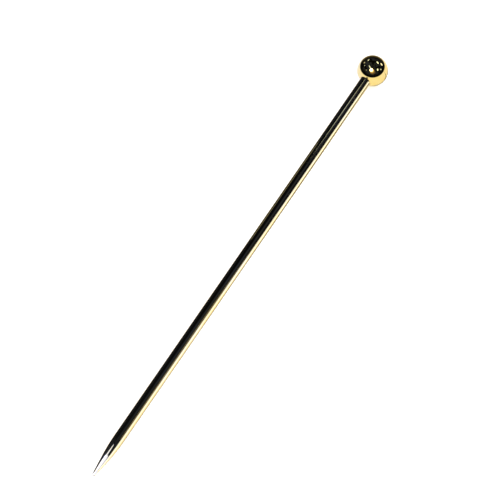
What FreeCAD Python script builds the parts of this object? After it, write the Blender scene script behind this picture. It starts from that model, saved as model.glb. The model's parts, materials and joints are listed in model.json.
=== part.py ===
import FreeCAD, Part
import math
import os

import Sketcher

# A straight pin with a ball head, in millimetres.
# The pin's axis is X and its point looks along +X. The origin is on the axis, at the pole of the
# ball that faces the point, so everything past it is clean shank.
# The ball is drilled and countersunk. The shank's turned spigot goes into the hole, its sloping
# shoulder into the countersink, and solder fills the gap and leaves a small fillet at the neck.

SIZES = {
    "overall_length": 118.0,  # top of the ball to the point
    "head_diameter": 6.8,
    "shank_diameter": 2.5,
    "spigot_diameter": 2.0,
    "spigot_length": 3.6,
    "spigot_chamfer": 0.2,
    "solder_gap": 0.05,  # around the spigot and the shoulder, and at the spigot's end
    "countersink_angle": 90.0,  # the hole's mouth and the shoulder, side to side, in degrees
    "drill_point_angle": 118.0,  # the hole's conical bottom, in degrees
    "neck_fillet_radius": 0.3,  # solder between the ball and the shank
    "taper_length": 10.2,
    "taper_blend_radius": 44.0,  # where the straight shank turns into the taper
    "point_radius": 0.4,
}

# Sketcher's numbers for the places on a piece of geometry, and for its own X axis.
START = 1
END = 2
CENTRE = 3
X_AXIS = -1
ORIGIN = (X_AXIS, START)

QUARTER_TURN = math.pi / 2
HALF_TURN = math.pi
FULL_TURN_DEGREES = 360.0


class Size:
    """A length that the sheet works out: what it comes to, and the expression that gives it."""

    def __init__(self, number, expression):
        self.number = number
        self.expression = expression

    def __neg__(self):
        return Size(-self.number, f"-({self.expression})")

    def __add__(self, other):
        return Size(self.number + other.number, f"{self.expression} + {other.expression}")

    def __sub__(self, other):
        return Size(self.number - other.number, f"{self.expression} - ({other.expression})")


def from_sheet(alias):
    """A driving size."""
    return Size(getattr(sheet, alias), f"sizes.{alias}")


def radius_of(alias):
    """Half of a driving diameter."""
    return Size(getattr(sheet, alias) / 2, f"sizes.{alias} / 2")


def height_on_ball(radius):
    """How far from the ball's centre its surface is, at a radius from the axis."""
    height = math.sqrt(HEAD_RADIUS.number**2 - radius.number**2)
    return Size(height, f"sqrt(({HEAD_RADIUS.expression})^2 - ({radius.expression})^2)")


def cone_length(change, angle):
    """The length of a cone that changes its radius by this much, with this angle side to side."""
    half_angle = math.radians(getattr(sheet, angle) / 2)
    slope = f"tan(sizes.{angle} * 1deg / 2)"
    return Size(change.number / math.tan(half_angle), f"({change.expression}) / {slope}")


class Profile:
    """A closed outline above the X axis, drawn piece by piece in a body's XY plane."""

    def __init__(self, body, name):
        self.body = body
        self.sketch = body.newObject("Sketcher::SketchObject", name)
        plane = next(f for f in body.Origin.OriginFeatures if f.Role == "XY_Plane")
        self.sketch.AttachmentSupport = [(plane, "")]
        self.sketch.MapMode = "FlatFace"
        self.pieces = []
        self.smooth = []

    def constrain(self, kind, *where):
        return self.sketch.addConstraint(Sketcher.Constraint(kind, *where))

    def bind(self, size, kind, *where):
        """Add a constraint whose size comes from the sheet."""
        number = self.constrain(kind, *where, size.number)
        self.sketch.setExpression(f"Constraints[{number}]", size.expression)

    def hold(self, vertex, x=None, radius=None):
        """Hold a vertex to its place along the axis, to its distance from it, or to both."""
        if x and x.number < 0:
            self.bind(-x, "DistanceX", *vertex, *ORIGIN)
        elif x:
            self.bind(x, "DistanceX", *ORIGIN, *vertex)
        if radius is AXIS:
            self.constrain("PointOnObject", *vertex, X_AXIS)
        elif radius:
            self.bind(radius, "DistanceY", *ORIGIN, *vertex)

    def line(self, start, end):
        """Add a straight piece between two points."""
        edge = Part.LineSegment(FreeCAD.Vector(*start, 0), FreeCAD.Vector(*end, 0))
        number = self.sketch.addGeometry(edge)
        self.pieces.append(((number, START), (number, END)))

    def path(self, *corners):
        """Add straight pieces through corners and hold each corner but the first to its place."""
        for (x, radius), (next_x, next_radius) in zip(corners, corners[1:]):
            self.line((x.number, radius.number), (next_x.number, next_radius.number))
            self.hold(self.pieces[-1][1], next_x, next_radius)

    def arc(self, centre, radius, start_angle, end_angle):
        """Add a round piece between two angles, either way around, and return its number."""
        low, high = sorted((start_angle, end_angle))
        circle = Part.Circle(FreeCAD.Vector(*centre, 0), FreeCAD.Vector(0, 0, 1), radius.number)
        number = self.sketch.addGeometry(Part.ArcOfCircle(circle, low, high))
        ends = ((number, START), (number, END))
        self.pieces.append(ends if start_angle < end_angle else ends[::-1])
        self.bind(radius, "Radius", number)
        return number

    def run_smoothly_on(self):
        """Make the last piece tangent to the one that comes after it."""
        self.smooth.append(len(self.pieces) - 1)

    def close(self):
        """Join each piece to the next, and the last to the first."""
        starts = [start for start, _ in self.pieces[1:] + self.pieces[:1]]
        for place, ((_, end), start) in enumerate(zip(self.pieces, starts)):
            self.constrain("Tangent" if place in self.smooth else "Coincident", *end, *start)

    def turn(self, kind, name):
        """Turn the outline about the X axis, as a Revolution or a Groove."""
        feature = self.body.newObject(kind, name)
        feature.Profile = self.sketch
        feature.ReferenceAxis = (self.sketch, ["H_Axis"])
        feature.Angle = FULL_TURN_DEGREES
        self.sketch.Visibility = False


def add_body(label):
    """Add an empty body for one sub-part, placed where the pin's own frame is."""
    body = doc.addObject("PartDesign::Body", label)
    body.Label = label
    body.Placement = FreeCAD.Placement()
    return body


def make_head_ball():
    """The polished ball, drilled for the shank's spigot and countersunk for its shoulder."""
    body = add_body("head_ball")
    outside = Profile(body, "ball_outline")
    ball = outside.arc((HEAD_CENTRE_X.number, 0), HEAD_RADIUS, 0, HALF_TURN)
    outside.hold((ball, CENTRE), HEAD_CENTRE_X, AXIS)
    outside.hold((ball, START), radius=AXIS)
    outside.hold((ball, END), radius=AXIS)
    outside.line((-sheet.head_diameter, 0), (0, 0))
    outside.close()
    outside.turn("PartDesign::Revolution", "ball")

    hole = Profile(body, "hole_outline")
    hole.path(
        (CLEAR_OF_BALL_X, AXIS),
        (CLEAR_OF_BALL_X, RIM_RADIUS),
        (RIM_X, RIM_RADIUS),
        (COUNTERSINK_X, HOLE_RADIUS),
        (HOLE_BOTTOM_X, HOLE_RADIUS),
        (DRILL_POINT_X, AXIS),
        (CLEAR_OF_BALL_X, AXIS),
    )
    hole.close()
    hole.turn("PartDesign::Groove", "hole")
    return body


def make_shank():
    """The wire: spigot with a chamfered end, sloping shoulder, straight length and point."""
    body = add_body("shank")
    wire = Profile(body, "shank_outline")
    wire.path(
        (SPIGOT_END_X, AXIS),
        (SPIGOT_END_X, SPIGOT_TIP_RADIUS),
        (CHAMFER_X, SPIGOT_RADIUS),
        (SHOULDER_X, SPIGOT_RADIUS),
        (RIM_X, SHANK_RADIUS),
        (TAPER_X, SHANK_RADIUS),
    )
    wire.run_smoothly_on()

    # The taper is the straight line that touches both the blend's circle and the point's.
    blend = BLEND_RADIUS.number
    rounding = POINT_RADIUS.number
    blend_centre = (TAPER_X.number, SHANK_RADIUS.number - blend)
    point_centre = (POINT_X.number - rounding, 0)
    along, across = (p - b for p, b in zip(point_centre, blend_centre))
    taper_angle = math.asin((blend - rounding) / math.hypot(along, across)) - math.atan2(across, along)
    square = QUARTER_TURN - taper_angle
    wire.arc(blend_centre, BLEND_RADIUS, QUARTER_TURN, square)
    wire.run_smoothly_on()
    side = (math.cos(square), math.sin(square))
    wire.line(
        [centre + blend * part for centre, part in zip(blend_centre, side)],
        [centre + rounding * part for centre, part in zip(point_centre, side)],
    )
    wire.run_smoothly_on()
    point = wire.arc(point_centre, POINT_RADIUS, square, 0)
    wire.hold((point, CENTRE), radius=AXIS)
    wire.hold((point, START), POINT_X, AXIS)
    wire.path((POINT_X, AXIS), (SPIGOT_END_X, AXIS))
    wire.close()
    wire.turn("PartDesign::Revolution", "wire")
    return body


def make_solder_joint():
    """The solder that fills the hole around the spigot and shows as a fillet at the neck."""
    body = add_body("solder_joint")
    solder = Profile(body, "solder_outline")
    solder.path(
        (DRILL_POINT_X, AXIS),
        (HOLE_BOTTOM_X, HOLE_RADIUS),
        (COUNTERSINK_X, HOLE_RADIUS),
    )
    head = HEAD_RADIUS.number
    fillet = FILLET_RADIUS.number
    shank = SHANK_RADIUS.number
    rim = RIM_RADIUS.number
    solder.line((COUNTERSINK_X.number, HOLE_RADIUS.number), (RIM_X.number, rim))
    rim_angle = math.asin(rim / head)
    touch_angle = math.asin((shank + fillet) / (head + fillet))
    on_ball = solder.arc((-head, 0), HEAD_RADIUS, rim_angle, touch_angle)
    solder.hold((on_ball, CENTRE), HEAD_CENTRE_X, AXIS)
    solder.hold((on_ball, START), radius=RIM_RADIUS)
    solder.run_smoothly_on()
    fillet_x = (head + fillet) * math.cos(touch_angle) - head
    neck = solder.arc(
        (fillet_x, shank + fillet), FILLET_RADIUS, HALF_TURN + touch_angle, HALF_TURN + QUARTER_TURN
    )
    solder.hold((neck, END), radius=SHANK_RADIUS)
    solder.run_smoothly_on()
    solder.line((fillet_x, shank), (RIM_X.number, shank))
    solder.hold(solder.pieces[-1][1], RIM_X, SHANK_RADIUS)
    solder.path(
        (RIM_X, SHANK_RADIUS),
        (SHOULDER_X, SPIGOT_RADIUS),
        (CHAMFER_X, SPIGOT_RADIUS),
        (SPIGOT_END_X, SPIGOT_TIP_RADIUS),
        (SPIGOT_END_X, AXIS),
        (DRILL_POINT_X, AXIS),
    )
    solder.close()
    solder.turn("PartDesign::Revolution", "solder")
    return body


doc = FreeCAD.newDocument("hat_pin")
sheet = doc.addObject("Spreadsheet::Sheet", "sizes")
for row, (alias, number) in enumerate(SIZES.items(), start=1):
    sheet.set(f"A{row}", alias)
    sheet.set(f"B{row}", str(number))
    sheet.setAlias(f"B{row}", alias)
doc.recompute()

# Distances from the axis.
AXIS = Size(0, "0")
HEAD_RADIUS = radius_of("head_diameter")
SHANK_RADIUS = radius_of("shank_diameter")
SPIGOT_RADIUS = radius_of("spigot_diameter")
SPIGOT_TIP_RADIUS = SPIGOT_RADIUS - from_sheet("spigot_chamfer")
HOLE_RADIUS = SPIGOT_RADIUS + from_sheet("solder_gap")
RIM_RADIUS = SHANK_RADIUS + from_sheet("solder_gap")

# Radii of the round places.
FILLET_RADIUS = from_sheet("neck_fillet_radius")
BLEND_RADIUS = from_sheet("taper_blend_radius")
POINT_RADIUS = from_sheet("point_radius")

# Places along the axis.
HEAD_CENTRE_X = -HEAD_RADIUS
RIM_X = HEAD_CENTRE_X + height_on_ball(RIM_RADIUS)
COUNTERSINK_X = RIM_X - cone_length(RIM_RADIUS - HOLE_RADIUS, "countersink_angle")
SHOULDER_X = RIM_X - cone_length(SHANK_RADIUS - SPIGOT_RADIUS, "countersink_angle")
SPIGOT_END_X = SHOULDER_X - from_sheet("spigot_length")
CHAMFER_X = SPIGOT_END_X + from_sheet("spigot_chamfer")
HOLE_BOTTOM_X = SPIGOT_END_X - from_sheet("solder_gap")
DRILL_POINT_X = HOLE_BOTTOM_X - cone_length(HOLE_RADIUS, "drill_point_angle")
CLEAR_OF_BALL_X = -RIM_X
POINT_X = from_sheet("overall_length") - from_sheet("head_diameter")
TAPER_X = POINT_X - from_sheet("taper_length")

bodies = [make_head_ball(), make_shank(), make_solder_joint()]
doc.recompute()

for item in doc.Objects:
    if {"Invalid", "Error"} & set(item.State):
        raise RuntimeError(f"{item.Label} failed: {item.State}")
    if item.TypeId == "Sketcher::SketchObject" and not item.FullyConstrained:
        raise RuntimeError(f"{item.Label} isn't fully constrained")
for body in bodies:
    if body.Shape.isNull() or not body.Shape.isValid() or len(body.Shape.Solids) != 1:
        raise RuntimeError(f"{body.Label} isn't one valid solid")
if doc.hole.Shape.Volume >= doc.ball.Shape.Volume:
    raise RuntimeError("the hole cuts nothing out of the ball")

os.makedirs("parts", exist_ok=True)
for body in bodies:
    body.Shape.exportStep(f"parts/{body.Label}.step")
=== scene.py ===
import json
import math

import bmesh
import bpy
from mathutils import Matrix, Vector


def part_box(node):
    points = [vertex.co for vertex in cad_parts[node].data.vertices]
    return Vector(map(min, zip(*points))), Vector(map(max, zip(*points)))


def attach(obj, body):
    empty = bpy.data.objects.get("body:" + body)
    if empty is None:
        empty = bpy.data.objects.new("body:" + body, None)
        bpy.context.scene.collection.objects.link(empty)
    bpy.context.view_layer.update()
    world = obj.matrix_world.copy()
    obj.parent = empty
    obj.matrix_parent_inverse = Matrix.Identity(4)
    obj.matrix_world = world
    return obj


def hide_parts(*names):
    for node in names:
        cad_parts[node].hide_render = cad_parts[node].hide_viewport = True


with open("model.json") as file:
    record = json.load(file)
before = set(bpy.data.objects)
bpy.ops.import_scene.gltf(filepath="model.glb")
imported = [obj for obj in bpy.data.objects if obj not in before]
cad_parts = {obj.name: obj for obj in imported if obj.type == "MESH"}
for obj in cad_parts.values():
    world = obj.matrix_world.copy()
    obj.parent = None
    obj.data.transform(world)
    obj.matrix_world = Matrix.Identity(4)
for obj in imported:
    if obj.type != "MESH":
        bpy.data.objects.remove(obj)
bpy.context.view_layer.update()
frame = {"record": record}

# A gold-plated pin with a mirror-polished ball head, lying on a white table.
# Lengths are in metres. The pin's axis is X and its point looks along +X.

MM = 0.001

# ---------------------------------------------------------------- sizes, from the frame

HEAD_LOW, HEAD_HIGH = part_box("head_ball")
SHANK_LOW, SHANK_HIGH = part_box("shank")
SOLDER_LOW, SOLDER_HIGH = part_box("solder_joint")
SHANK_MOUNT = next(m for m in frame["record"]["mounts"] if m["name"] == "shank")

HEAD_RADIUS = (HEAD_HIGH.y - HEAD_LOW.y) / 2
HEAD_X = HEAD_LOW.x + HEAD_RADIUS
RIM_X = HEAD_HIGH.x  # the mouth of the ball's hole
RIM_RADIUS = math.sqrt(HEAD_RADIUS**2 - (RIM_X - HEAD_X) ** 2)
SHANK_RADIUS = SHANK_MOUNT["dims"]["r_mm"] * MM
TAPER_X = RIM_X + SHANK_MOUNT["dims"]["length_mm"] * MM
POINT_X = SHANK_HIGH.x
NECK_X = SOLDER_HIGH.x  # where the solder's fillet ends on the shank

# The fillet is an arc that touches both the ball and the shank.
FILLET_RADIUS = ((NECK_X - HEAD_X) ** 2 + SHANK_RADIUS**2 - HEAD_RADIUS**2) / (
    2 * (HEAD_RADIUS - SHANK_RADIUS)
)

# Sizes that the frame's boxes don't give.
SPIGOT_RADIUS = 1.0 * MM
SPIGOT_CHAMFER = 0.2 * MM
SOLDER_GAP = 0.05 * MM
BLEND_RADIUS = 44.0 * MM  # where the straight shank turns into the taper
POINT_RADIUS = 0.4 * MM

HOLE_RADIUS = SPIGOT_RADIUS + SOLDER_GAP
HOLE_END_X = SHANK_LOW.x - SOLDER_GAP
DRILL_POINT_X = SOLDER_LOW.x

HEAD_CENTRE = Vector((HEAD_X, 0, 0))
AXIS = Vector((1, 0, 0))

# ---------------------------------------------------------------- turned pieces


def arc(centre_x, centre_r, radius, start, end, steps):
    """Points (x, r) on an arc. Angles are in radians, from +X towards the outside."""
    turns = (start + (end - start) * i / steps for i in range(steps + 1))
    return [(centre_x + radius * math.cos(a), centre_r + radius * math.sin(a)) for a in turns]


def run(start, end, steps):
    """Evenly spaced points from start to end, without the start itself."""
    shares = (i / steps for i in range(1, steps + 1))
    return [tuple(s + (e - s) * k for s, e in zip(start, end)) for k in shares]


def turned(name, outline, segments, crease):
    """A closed solid, made by turning an outline that starts and ends on the axis."""
    bm = bmesh.new()
    rings = []
    for x, r in outline:
        if r < 1e-9:
            rings.append([bm.verts.new((x, 0, 0))])
            continue
        turns = (2 * math.pi * i / segments for i in range(segments))
        rings.append([bm.verts.new((x, r * math.cos(a), r * math.sin(a))) for a in turns])
    for near, far in zip(rings, rings[1:]):
        for i in range(segments):
            j = (i + 1) % segments
            corners = [near[i % len(near)], near[j % len(near)], far[j % len(far)], far[i % len(far)]]
            bm.faces.new(list(dict.fromkeys(corners)))
    bmesh.ops.recalc_face_normals(bm, faces=bm.faces)
    mesh = bpy.data.meshes.new(name)
    bm.to_mesh(mesh)
    bm.free()
    mesh.shade_smooth()
    mesh.set_sharp_from_angle(angle=crease)
    piece = bpy.data.objects.new(name, mesh)
    bpy.context.scene.collection.objects.link(piece)
    return piece


def hole_outline():
    """The ball's hole, from its mouth down the countersink to the drill's point."""
    depth = RIM_RADIUS - HOLE_RADIUS
    return [(RIM_X - depth, HOLE_RADIUS), (HOLE_END_X, HOLE_RADIUS), (DRILL_POINT_X, 0)]


def shank_end_outline():
    """The spigot and its sloping shoulder, from the spigot's end to the shank's wall."""
    step = SHANK_RADIUS - SPIGOT_RADIUS
    return [
        (SHANK_LOW.x, 0),
        (SHANK_LOW.x, SPIGOT_RADIUS - SPIGOT_CHAMFER),
        (SHANK_LOW.x + SPIGOT_CHAMFER, SPIGOT_RADIUS),
        (RIM_X - step, SPIGOT_RADIUS),
        (RIM_X, SHANK_RADIUS),
    ]


def taper_angle():
    """The cone's half angle: its line touches the blend's arc and the point's arc."""
    along = POINT_X - POINT_RADIUS - TAPER_X
    across = BLEND_RADIUS - SHANK_RADIUS
    lean = math.atan2(along, across)
    return lean - math.acos((BLEND_RADIUS - POINT_RADIUS) / math.hypot(along, across))


def make_head():
    rim = math.atan2(RIM_RADIUS, RIM_X - HEAD_X)
    outline = arc(HEAD_X, 0, HEAD_RADIUS, math.pi, rim, 88)
    outline[0] = (HEAD_LOW.x, 0)
    return turned("ball", outline + hole_outline(), 176, math.radians(35))


def make_shank():
    quarter = math.pi / 2
    slope = taper_angle()
    blend = arc(TAPER_X, SHANK_RADIUS - BLEND_RADIUS, BLEND_RADIUS, quarter, quarter - slope, 30)
    point = arc(POINT_X - POINT_RADIUS, 0, POINT_RADIUS, quarter - slope, 0, 14)
    point[-1] = (POINT_X, 0)
    outline = shank_end_outline()
    outline += run(outline[-1], blend[0], 90)
    outline += blend[1:]
    outline += run(blend[-1], point[0], 8)
    outline += point[1:]
    return turned("pin_shank", outline, 128, math.radians(20))


def make_solder():
    """Solder fills the gap between ball and shank, and ends in a small fillet at the neck."""
    centre_r = SHANK_RADIUS + FILLET_RADIUS
    to_ball = math.atan2(-centre_r, HEAD_X - NECK_X)
    fillet = arc(NECK_X, centre_r, FILLET_RADIUS, to_ball, -math.pi / 2, 14)
    skin = arc(HEAD_X, 0, HEAD_RADIUS, math.atan2(RIM_RADIUS, RIM_X - HEAD_X),
               math.atan2(centre_r, NECK_X - HEAD_X), 3)
    outline = hole_outline()[::-1] + [(RIM_X, RIM_RADIUS)] + skin[1:-1] + fillet
    return turned("neck_solder", outline + shank_end_outline()[::-1], 128, math.radians(30))


# ---------------------------------------------------------------- node helpers


class Net:
    """A node tree that is filled in one node at a time."""

    def __init__(self, tree):
        self.tree = tree

    def node(self, kind, inputs=None, **settings):
        node = self.tree.nodes.new(kind)
        for name, value in settings.items():
            setattr(node, name, value)
        for name, value in (inputs or {}).items():
            self.feed(node.inputs[name], value)
        return node

    def feed(self, socket, value):
        if isinstance(value, bpy.types.NodeSocket):
            self.tree.links.new(value, socket)
        else:
            socket.default_value = value

    def math(self, operation, *values, clamp=False):
        node = self.node("ShaderNodeMath", operation=operation, use_clamp=clamp)
        for socket, value in zip(node.inputs, values):
            self.feed(socket, value)
        return node.outputs[0]

    def vector(self, operation, *values):
        node = self.node("ShaderNodeVectorMath", operation=operation)
        for socket, value in zip(node.inputs, values):
            self.feed(socket, value)
        number = operation in ("DOT_PRODUCT", "LENGTH", "DISTANCE")
        return node.outputs["Value" if number else "Vector"]

    def times(self, *values):
        product = values[0]
        for value in values[1:]:
            product = self.math("MULTIPLY", product, value)
        return product

    def length(self, first, second):
        """The length of the vector (first, second)."""
        return self.math("SQRT", self.math("ADD", self.times(first, first), self.times(second, second)))

    def ramp(self, value, low, high, to_low=0.0, to_high=1.0):
        """A smooth step of value from low to high."""
        inputs = {"Value": value, "From Min": low, "From Max": high}
        inputs.update({"To Min": to_low, "To Max": to_high})
        step = self.node("ShaderNodeMapRange", inputs, interpolation_type="SMOOTHSTEP")
        return step.outputs["Result"]

    def blend(self, share, first, second):
        node = self.node("ShaderNodeMix", data_type="RGBA")
        self.feed(node.inputs["Factor"], share)
        colours = [s for s in node.inputs if s.type == "RGBA"]
        self.feed(colours[0], first)
        self.feed(colours[1], second)
        return next(s for s in node.outputs if s.type == "RGBA")

    def noise(self, vector, scale, detail=3.0, roughness=0.55):
        inputs = {"Vector": vector, "Scale": scale, "Detail": detail, "Roughness": roughness}
        return self.node("ShaderNodeTexNoise", inputs).outputs["Fac"]


def new_group(name, inputs, outputs):
    """An empty shader group with named sockets, its net, and its input sockets."""
    tree = bpy.data.node_groups.new(name, "ShaderNodeTree")
    for label, kind, default in inputs:
        socket = tree.interface.new_socket(label, in_out="INPUT", socket_type=kind)
        if default is not None:
            socket.default_value = default
    for label, kind in outputs:
        tree.interface.new_socket(label, in_out="OUTPUT", socket_type=kind)
    net = Net(tree)
    return net, net.node("NodeGroupInput").outputs, net.node("NodeGroupOutput").inputs


NUMBER = "NodeSocketFloat"
COLOUR = "NodeSocketColor"
VECTOR = "NodeSocketVector"


def plating_tone_group():
    """Gold that drifts between a rich and a pale tone, in soft patches with a finer mottle."""
    net, given, out = new_group(
        "plating_tone",
        [("Vector", VECTOR, None), ("Rich Gold", COLOUR, None), ("Pale Gold", COLOUR, None),
         ("Patches per Metre", NUMBER, 300.0)],
        [("Color", COLOUR), ("Patches", NUMBER)],
    )
    broad = net.noise(given["Vector"], given["Patches per Metre"], 2.0)
    fine_scale = net.times(given["Patches per Metre"], 9.0)
    fine = net.noise(given["Vector"], fine_scale, 4.0)
    both = net.math("ADD", net.times(broad, 0.75), net.times(fine, 0.25))
    patches = net.ramp(both, 0.36, 0.64)
    net.feed(out["Color"], net.blend(patches, given["Rich Gold"], given["Pale Gold"]))
    net.feed(out["Patches"], patches)
    return net.tree


def polish_lines_group():
    """Fine scratches that a polishing wheel leaves, long in one direction."""
    net, given, out = new_group(
        "polish_lines",
        [("Vector", VECTOR, None), ("Stretch", VECTOR, None), ("Coverage", NUMBER, 0.5)],
        [("Height", NUMBER), ("Mask", NUMBER)],
    )
    drawn = net.vector("MULTIPLY", given["Vector"], given["Stretch"])
    hairlines = net.noise(drawn, 1.0, 5.0, 0.7)
    edge = net.ramp(given["Coverage"], 0.0, 1.0, 0.74, 0.5)
    deep = net.ramp(hairlines, edge, net.math("ADD", edge, 0.07))
    net.feed(out["Height"], net.math("SUBTRACT", hairlines, net.times(deep, 0.8)))
    net.feed(out["Mask"], deep)
    return net.tree


def handling_marks_group():
    """Smears left by fingers, with a few specks of dust and tiny pits in the plating."""
    net, given, out = new_group(
        "handling_marks",
        [("Vector", VECTOR, None), ("Smears per Metre", NUMBER, 400.0),
         ("Pits per Metre", NUMBER, 3000.0), ("Amount", NUMBER, 0.5)],
        [("Smears", NUMBER), ("Pits", NUMBER)],
    )
    cloud = net.noise(given["Vector"], given["Smears per Metre"], 5.0, 0.6)
    smears = net.times(net.ramp(cloud, 0.5, 0.68), given["Amount"])
    scale = given["Pits per Metre"]
    cells = net.node("ShaderNodeTexVoronoi", {"Vector": given["Vector"], "Scale": scale})
    rare = net.ramp(cells.outputs["Color"], 0.72, 0.78)
    pits = net.times(net.ramp(cells.outputs["Distance"], 0.10, 0.04), rare)
    net.feed(out["Smears"], smears)
    net.feed(out["Pits"], pits)
    return net.tree


GROUPS = {
    "tone": plating_tone_group(),
    "lines": polish_lines_group(),
    "marks": handling_marks_group(),
}

# ---------------------------------------------------------------- materials


def gold(name, rich, pale, patch_scale, lines, coverage, smears, pits, roughness, relief, wear=None):
    """Gold plating. Roughness is (clean, smeared, scratched); wear is where the plating is rubbed."""
    material = bpy.data.materials.new(name)
    material.use_nodes = True
    net = Net(material.node_tree)
    shader = material.node_tree.nodes["Principled BSDF"]
    place = net.node("ShaderNodeTexCoord").outputs["Object"]

    tone = net.node("ShaderNodeGroup", node_tree=GROUPS["tone"], label="plating tone")
    net.feed(tone.inputs["Vector"], place)
    net.feed(tone.inputs["Rich Gold"], rich)
    net.feed(tone.inputs["Pale Gold"], pale)
    net.feed(tone.inputs["Patches per Metre"], patch_scale)

    scratches = net.node("ShaderNodeGroup", node_tree=GROUPS["lines"], label="polish lines")
    net.feed(scratches.inputs["Vector"], place)
    net.feed(scratches.inputs["Stretch"], lines)
    net.feed(scratches.inputs["Coverage"], coverage)

    marks = net.node("ShaderNodeGroup", node_tree=GROUPS["marks"], label="handling marks")
    net.feed(marks.inputs["Vector"], place)
    net.feed(marks.inputs["Smears per Metre"], smears)
    net.feed(marks.inputs["Pits per Metre"], pits)

    clean, smeared, scratched = roughness
    rough = net.ramp(marks.outputs["Smears"], 0.0, 0.5, clean, smeared)
    rough = net.math("ADD", rough, net.times(scratches.outputs["Mask"], scratched))
    colour = tone.outputs["Color"]
    dull = net.times(marks.outputs["Pits"], 0.6)
    colour = net.blend(dull, colour, (0.32, 0.19, 0.07, 1))
    if wear:
        worn_colour, start, end = wear
        along = net.node("ShaderNodeSeparateXYZ", {"Vector": place}).outputs["X"]
        rubbed = net.ramp(along, start, end)
        ragged = net.noise(net.vector("MULTIPLY", place, (500.0, 2600.0, 2600.0)), 1.0, 6.0, 0.65)
        rubbed = net.times(rubbed, net.ramp(ragged, 0.42, 0.6))
        colour = net.blend(rubbed, colour, worn_colour)
        rough = net.math("ADD", rough, net.times(rubbed, 0.06))

    depth = net.math("SUBTRACT", scratches.outputs["Height"], marks.outputs["Pits"])
    bump = net.node("ShaderNodeBump", {"Height": depth, "Strength": relief, "Distance": 0.01 * MM})
    net.feed(shader.inputs["Base Color"], colour)
    net.feed(shader.inputs["Roughness"], rough)
    net.feed(shader.inputs["Normal"], bump.outputs["Normal"])
    shader.inputs["Metallic"].default_value = 1.0
    return material


def polished_ball_gold():
    return gold(
        "gold_mirror_polish",
        rich=(1.0, 0.77, 0.27, 1), pale=(1.0, 0.81, 0.36, 1), patch_scale=420.0,
        lines=(9000.0, 26000.0, 1400.0), coverage=0.25, smears=520.0, pits=2600.0,
        roughness=(0.03, 0.075, 0.05), relief=0.012,
    )


def drawn_wire_gold():
    """The wire was polished lengthwise, so its lines run along X. Its point is rubbed paler."""
    return gold(
        "gold_drawn_wire",
        rich=(1.0, 0.80, 0.38, 1), pale=(1.0, 0.85, 0.50, 1), patch_scale=160.0,
        lines=(260.0, 16000.0, 16000.0), coverage=0.35, smears=300.0, pits=2200.0,
        roughness=(0.04, 0.09, 0.06), relief=0.015,
        wear=((0.96, 0.86, 0.66, 1), TAPER_X, POINT_X),
    )


def solder_gold():
    """Solder under the plating is duller and less even than the turned brass."""
    return gold(
        "gold_over_solder",
        rich=(0.90, 0.62, 0.20, 1), pale=(0.98, 0.76, 0.32, 1), patch_scale=1500.0,
        lines=(7000.0, 7000.0, 7000.0), coverage=0.6, smears=1200.0, pits=5200.0,
        roughness=(0.10, 0.2, 0.08), relief=0.05,
    )


def table_white():
    """Smooth white card, with a faint grain."""
    material = bpy.data.materials.new("white_card")
    material.use_nodes = True
    net = Net(material.node_tree)
    shader = material.node_tree.nodes["Principled BSDF"]
    place = net.node("ShaderNodeTexCoord").outputs["Object"]
    grain = net.noise(place, 900.0, 5.0)
    colour = net.blend(grain, (0.93, 0.93, 0.925, 1), (0.96, 0.96, 0.96, 1))
    net.feed(shader.inputs["Base Color"], colour)
    net.feed(shader.inputs["Roughness"], net.ramp(grain, 0.3, 0.7, 0.75, 0.9))
    bump = net.node("ShaderNodeBump", {"Height": grain, "Strength": 0.1, "Distance": 0.02 * MM})
    net.feed(shader.inputs["Normal"], bump.outputs["Normal"])
    return material


# ---------------------------------------------------------------- the pin


def place_piece(piece, material, node):
    piece.data.materials.append(material)
    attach(piece, "root")
    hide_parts(node)
    return piece


BALL = place_piece(make_head(), polished_ball_gold(), "head_ball")
PIN_SHANK = place_piece(make_shank(), drawn_wire_gold(), "shank")
NECK_SOLDER = place_piece(make_solder(), solder_gold(), "solder_joint")

# ---------------------------------------------------------------- the table


def table_tilt():
    """The pin rests on its ball and on the start of its taper, so its axis is off level."""
    along = TAPER_X - HEAD_X
    up = BLEND_RADIUS - SHANK_RADIUS
    return math.atan2(up, along) - math.asin((BLEND_RADIUS - HEAD_RADIUS) / math.hypot(along, up))


TABLE_TURN = Matrix.Rotation(-table_tilt(), 4, "Y")
TABLE_UP = TABLE_TURN @ Vector((0, 0, 1))
TABLE_CLEARANCE = 0.005 * MM
TABLE_PLACE = HEAD_CENTRE - TABLE_UP * (HEAD_RADIUS + TABLE_CLEARANCE)


TABLE_HALF_SIZE = 2.0


def make_table():
    bm = bmesh.new()
    bmesh.ops.create_grid(bm, x_segments=24, y_segments=24, size=TABLE_HALF_SIZE)
    mesh = bpy.data.meshes.new("table")
    bm.to_mesh(mesh)
    bm.free()
    table = bpy.data.objects.new("table", mesh)
    bpy.context.scene.collection.objects.link(table)
    table.matrix_world = Matrix.Translation(TABLE_PLACE) @ TABLE_TURN
    table.data.materials.append(table_white())
    table.visible_glossy = False


make_table()

# ---------------------------------------------------------------- the camera

# The camera looks down at the table at an angle, with the pin's point towards it.
ELEVATION = math.radians(60)
HEADING = math.radians(30.84)  # from the pin's axis round to the camera
TO_CAMERA = Vector((
    math.cos(ELEVATION) * math.cos(HEADING),
    math.cos(ELEVATION) * math.sin(HEADING),
    math.sin(ELEVATION),
))
VIEW_RIGHT = Vector((0, 0, 1)).cross(TO_CAMERA).normalized()
VIEW_UP = TO_CAMERA.cross(VIEW_RIGHT)
VIEW_WIDTH = 108.14 * MM  # what the frame takes in at the head's distance
CAMERA_DISTANCE = 950 * MM
HEAD_RIGHT = 26.5 * MM  # the head's place in the frame, from its middle
HEAD_UP = 38.82 * MM
CAMERA_PLACE = HEAD_CENTRE + TO_CAMERA * CAMERA_DISTANCE - VIEW_RIGHT * HEAD_RIGHT - VIEW_UP * HEAD_UP


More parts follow.
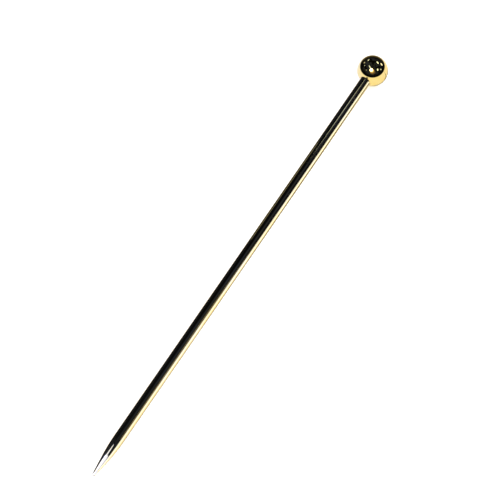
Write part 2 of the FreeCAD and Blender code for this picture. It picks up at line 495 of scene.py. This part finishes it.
def make_camera():
    data = bpy.data.cameras.new("camera")
    data.sensor_width = 36.0
    data.lens = data.sensor_width * CAMERA_DISTANCE / VIEW_WIDTH
    data.clip_start = 0.01
    data.clip_end = 10.0
    camera = bpy.data.objects.new("camera", data)
    bpy.context.scene.collection.objects.link(camera)
    columns = Matrix((VIEW_RIGHT, VIEW_UP, TO_CAMERA)).transposed()
    camera.matrix_world = Matrix.Translation(CAMERA_PLACE) @ columns.to_4x4()
    bpy.context.scene.camera = camera


make_camera()

# ---------------------------------------------------------------- light

# The head is a ball mirror, so the room is laid out by where it shows in the head:
# (right, up) from the head's middle, in shares of its radius, for an eye at the camera.
EYE = (CAMERA_PLACE - HEAD_CENTRE).normalized()
EYE_RIGHT = (VIEW_RIGHT - VIEW_RIGHT.dot(EYE) * EYE).normalized()
EYE_UP = EYE.cross(EYE_RIGHT)


def shown_at(right, up):
    """The direction that the head reflects to the eye at this place."""
    facing = EYE_RIGHT * right + EYE_UP * up + EYE * math.sqrt(max(0.0, 1 - right**2 - up**2))
    return 2 * facing.dot(EYE) * facing - EYE


ROOM_RIGHT, ROOM_UP = -0.006, 0.256  # the dark room above the table, as an oval in the head
ROOM_WIDTH, ROOM_HEIGHT = 0.79, 0.7115


def white_table(net, right, up):
    """The white surroundings: warm at the bottom, cooler above, and tinted on both sides."""
    white = net.blend(net.ramp(up, -0.75, 0.9), (1.0, 0.96, 0.82, 1), (1.15, 1.2, 1.5, 1))
    white = net.blend(net.ramp(right, 0.3, 0.9, 0.0, 0.6), white, (0.98, 0.9, 0.85, 1))
    return net.blend(net.ramp(right, -0.3, -0.8, 0.0, 0.7), white, (0.92, 1.0, 1.55, 1))


def head_shadow(net, right, up):
    """How much of the head's own shadow lies here: low, on the side away from the light."""
    rim = net.ramp(net.length(right, up), 0.93, 0.985, 0.0, 0.85)
    low_right = net.math("SUBTRACT", net.times(right, 0.75), net.times(up, 0.66))
    return net.times(rim, net.ramp(low_right, 0.45, 0.85))


def pin_shadow(net, way):
    """How much of the pin's shadow lies here. It shows in the shank as a thin line.

    Towards the point, the pin is closer to the table. There the shadow lies further round and
    is paler.
    """
    heading = net.node("ShaderNodeSeparateXYZ", {"Vector": way}).outputs
    # 0 where the shank shows it next to the head, and 1 at the taper.
    along = net.math("DIVIDE", net.math("ADD", heading["X"], 0.47), 0.09)
    back = net.math("POWER", net.math("SUBTRACT", 1.0, along, clamp=True), 2.2)
    middle = net.math("SUBTRACT", 2.78, net.times(back, 0.78))  # radians from straight up
    turn = net.math("ARCTAN2", heading["Y"], heading["Z"])
    apart = net.math("ABSOLUTE", net.math("SUBTRACT", turn, middle))
    line = net.times(net.ramp(apart, 0.42, 0.24), net.ramp(along, 0.0, 1.0, 0.92, 0.4))
    ends = net.times(net.ramp(along, -0.22, -0.08), net.ramp(along, 1.5, 1.1))
    return net.times(line, ends)


def dark_room(net, way, right, up):
    """The dark room's colour, and how far it covers the surroundings here."""
    across_room = net.math("DIVIDE", net.math("SUBTRACT", right, ROOM_RIGHT), ROOM_WIDTH)
    up_room = net.math("DIVIDE", net.math("SUBTRACT", up, ROOM_UP), ROOM_HEIGHT)
    reach = net.length(across_room, up_room)
    edge = net.ramp(reach, 0.6, 0.9)
    charcoal = net.blend(edge, (0.020, 0.025, 0.05, 1), (0.004, 0.004, 0.008, 1))
    clutter = net.ramp(net.noise(way, 3.2, 2.0), 0.42, 0.6)
    charcoal = net.blend(clutter, charcoal, (0.002, 0.002, 0.002, 1))
    brown = net.times(net.ramp(reach, 0.82, 1.0), net.ramp(up_room, 0.25, 0.95))
    return net.blend(brown, charcoal, (0.16, 0.14, 0.08, 1)), net.ramp(reach, 1.025, 0.975)


def make_surroundings():
    """A white table under a dark room, for the gold to reflect. Plain soft white elsewhere."""
    world = bpy.data.worlds.new("studio")
    bpy.context.scene.world = world
    world.use_nodes = True
    world.cycles.sampling_method = "NONE"
    net = Net(world.node_tree)
    background = world.node_tree.nodes["Background"]
    way = net.node("ShaderNodeTexCoord").outputs["Generated"]
    facing = net.vector("NORMALIZE", net.vector("ADD", way, EYE))
    right = net.vector("DOT_PRODUCT", facing, EYE_RIGHT)
    up = net.vector("DOT_PRODUCT", facing, EYE_UP)

    reflected = white_table(net, right, up)
    reflected = net.blend(head_shadow(net, right, up), reflected, (0.20, 0.19, 0.16, 1))
    reflected = net.blend(pin_shadow(net, way), reflected, (0.10, 0.10, 0.09, 1))
    room, cover = dark_room(net, way, right, up)
    reflected = net.blend(cover, reflected, room)

    ray = net.node("ShaderNodeLightPath").outputs
    plain = net.blend(ray["Is Camera Ray"], (2.3, 2.3, 2.3, 1), (1.0, 1.0, 1.0, 1))
    net.feed(background.inputs["Color"], net.blend(ray["Is Glossy Ray"], plain, reflected))
    background.inputs["Strength"].default_value = 1.0


def lamp(name, right, up, wide, tall, brightness, colour, lean, distance):
    """A soft lamp, placed and sized by its glint in the head, that lights the head only."""
    middle = shown_at(right, up)
    turned_right = Vector((math.cos(lean), math.sin(lean)))
    turned_up = Vector((-math.sin(lean), math.cos(lean)))
    step = 0.01
    across = shown_at(right + turned_right.x * step, up + turned_right.y * step) - middle
    along = shown_at(right + turned_up.x * step, up + turned_up.y * step) - middle
    data = bpy.data.lights.new(name, "AREA")
    data.shape = "ELLIPSE"
    data.size = across.length / step * wide * distance
    data.size_y = along.length / step * tall * distance
    data.color = colour
    area = math.pi * data.size * data.size_y / 4
    data.energy = brightness * math.pi * area
    hang_lamp(name, data, HEAD_CENTRE + middle * distance, middle, across, HEAD_ONLY)


def hang_lamp(name, data, place, away, across, lights):
    """Puts a lamp in the scene, with its back to `away`."""
    across = (across - across.dot(away) * away).normalized()
    columns = Matrix((across, away.cross(across), away)).transposed()
    light = bpy.data.objects.new(name, data)
    bpy.context.scene.collection.objects.link(light)
    light.matrix_world = Matrix.Translation(place) @ columns.to_4x4()
    light.visible_camera = False
    light.visible_diffuse = False
    light.light_linking.receiver_collection = lights


def only(name, *lit):
    collection = bpy.data.collections.new(name)
    for piece in lit:
        collection.objects.link(piece)
    return collection


HEAD_ONLY = only("lit_head", BALL)
SHANK_ONLY = only("lit_shank", PIN_SHANK)
TUBE_DISTANCE = 195 * MM

WARM_WHITE = (0.85, 0.9, 1.0)
COOL_WHITE = (0.68, 0.82, 1.0)

# name, right, up, wide, tall, brightness, colour, lean in degrees, distance in metres.
# The wider and fainter lamps stand behind the ones that they surround.
HEAD_GLINTS = [
    ("key_lamp", -0.077, 0.035, 0.2, 0.2, 6.0, WARM_WHITE, 0, 1.0),
    ("key_lamp_arm", -0.165, 0.215, 0.055, 0.26, 1.6, COOL_WHITE, 28, 1.0),
    ("room_lamp_a", -0.256, 0.66, 0.07, 0.09, 1.2, COOL_WHITE, 0, 1.0),
    ("room_lamp_b", -0.513, 0.5, 0.07, 0.07, 0.7, WARM_WHITE, 0, 1.0),
    ("room_lamp_c", -0.5, 0.314, 0.06, 0.06, 0.7, COOL_WHITE, 0, 1.0),
    ("room_lamp_d", -0.391, 0.032, 0.07, 0.07, 0.35, WARM_WHITE, 0, 1.0),
    ("room_lamp_e", 0.327, 0.5, 0.07, 0.15, 2.4, COOL_WHITE, 12, 1.0),
    ("room_lamp_f", 0.571, 0.391, 0.075, 0.16, 1.6, WARM_WHITE, 10, 1.0),
    ("room_lamp_g", 0.327, 0.051, 0.075, 0.14, 2.2, COOL_WHITE, 0, 1.0),
    ("room_lamp_h", 0.526, 0.07, 0.09, 0.09, 0.8, COOL_WHITE, 0, 1.0),
    ("key_lamp_halo", -0.05, 0.0, 0.26, 0.26, 0.6, (1.0, 0.8, 0.45), 0, 1.15),
    ("inner_glow", -0.02, -0.06, 0.29, 0.25, 0.26, (1.0, 0.72, 0.3), 0, 1.3),
    ("outer_glow", 0.01, -0.11, 0.38, 0.3, 0.07, (1.0, 0.66, 0.3), 0, 1.45),
]


def make_lamps():
    for name, right, up, wide, tall, brightness, colour, lean, distance in HEAD_GLINTS:
        lamp(name, right, up, wide, tall, brightness, colour, math.radians(lean), distance)


def strip(name, place, away, along, length, width, brightness, colour, shape="RECTANGLE"):
    """A soft strip or round that lights the shank. `along` is the direction of its length."""
    data = bpy.data.lights.new(name, "AREA")
    data.shape = shape
    data.size = length
    data.size_y = width
    data.color = colour
    area = length * width * (math.pi / 4 if shape == "ELLIPSE" else 1.0)
    data.energy = brightness * math.pi * area
    hang_lamp(name, data, place, away, along, SHANK_ONLY)


def shown_on_shank(x, across):
    """The direction that the shank reflects to the camera at x, this share of its radius aside."""
    eye = (CAMERA_PLACE - AXIS * x).normalized()
    level = (eye - eye.dot(AXIS) * AXIS).normalized()
    facing = level * math.sqrt(1 - across**2) + AXIS.cross(level) * across
    return 2 * facing.dot(eye) * facing - eye


def shank_line(name, start, end, width, brightness, colour):
    """A strip that shows on the shank as a line between two places, each (x in mm, share across)."""
    (start_x, start_across), (end_x, end_across) = start, end
    first = AXIS * start_x * MM + shown_on_shank(start_x * MM, start_across) * TUBE_DISTANCE
    last = AXIS * end_x * MM + shown_on_shank(end_x * MM, end_across) * TUBE_DISTANCE
    along = last - first
    x = (start_x + end_x) / 2 * MM
    across = (start_across + end_across) / 2
    edges = [shown_on_shank(x, across + side * width / 2) for side in (-1, 1)]
    wide = (edges[1] - edges[0]).length * TUBE_DISTANCE
    away = shown_on_shank(x, across)
    away = (away - away.project(along)).normalized()
    strip(name, (first + last) / 2, away, along, along.length, wide, brightness, colour)


def around(degrees):
    """A direction across the pin, this far round from straight up towards +Y."""
    turn = math.radians(degrees)
    return Vector((0, math.sin(turn), math.cos(turn)))


def panel(name, turn, start, length, width, distance, brightness, colour, shape="RECTANGLE"):
    """A strip that runs along the pin from x = start, this many degrees round. Sizes in mm."""
    away = around(turn)
    place = AXIS * (start + length / 2) * MM + away * distance * MM
    strip(name, place, away, AXIS, length * MM, width * MM, brightness, colour, shape)


PALE_BLUE = (0.72, 0.79, 1.0)
POINT_BLUE = (0.5, 0.58, 1.0)

# Thin lines: name, start and end (x in mm, share across), width as a share, brightness, colour.
SHANK_LINES = [
    ("upper_tube", (0.3, 0.22), (17.5, 0.19), 0.08, 0.62, (0.72, 0.84, 1.0)),
    ("low_tube", (19.0, 0.69), (47.0, 0.69), 0.09, 0.17, (1.0, 0.98, 0.8)),
    ("brown_tube", (55.0, -0.27), (101.0, -0.33), 0.16, 0.12, (1.0, 0.95, 0.8)),
]

# Broad panels: name, degrees round, start, length, width, distance, brightness, colour.
# The white card stands beside the pin. The shank shows the far cards only when it is seen from
# further round. The point panels turn the taper pale.
SHANK_PANELS = [
    ("side_card", 86, -330, 480, 138, 210, 1.3, PALE_BLUE),
    ("far_card_left", -75, -441, 322, 80, 210, 0.9, WARM_WHITE),
    ("far_card_right", 30, -441, 322, 80, 210, 0.9, WARM_WHITE),
    ("point_panel_left", -78, 99, 160, 70, 60, 1.8, POINT_BLUE),
    ("point_panel_middle", -18, 96, 160, 52, 60, 1.8, POINT_BLUE),
    ("point_panel_right", 38, 96, 160, 52, 60, 1.8, POINT_BLUE),
]


def make_shank_lights():
    for row in SHANK_LINES:
        shank_line(*row)
    for row in SHANK_PANELS:
        panel(*row)
    # A round panel reaches further back than the others, and draws a narrow streak on the taper.
    panel("point_round", 2, 85.5, 196, 76, 60, 1.8, POINT_BLUE, "ELLIPSE")


make_surroundings()
make_lamps()
make_shank_lights()
bpy.context.scene.view_settings.view_transform = "Standard"
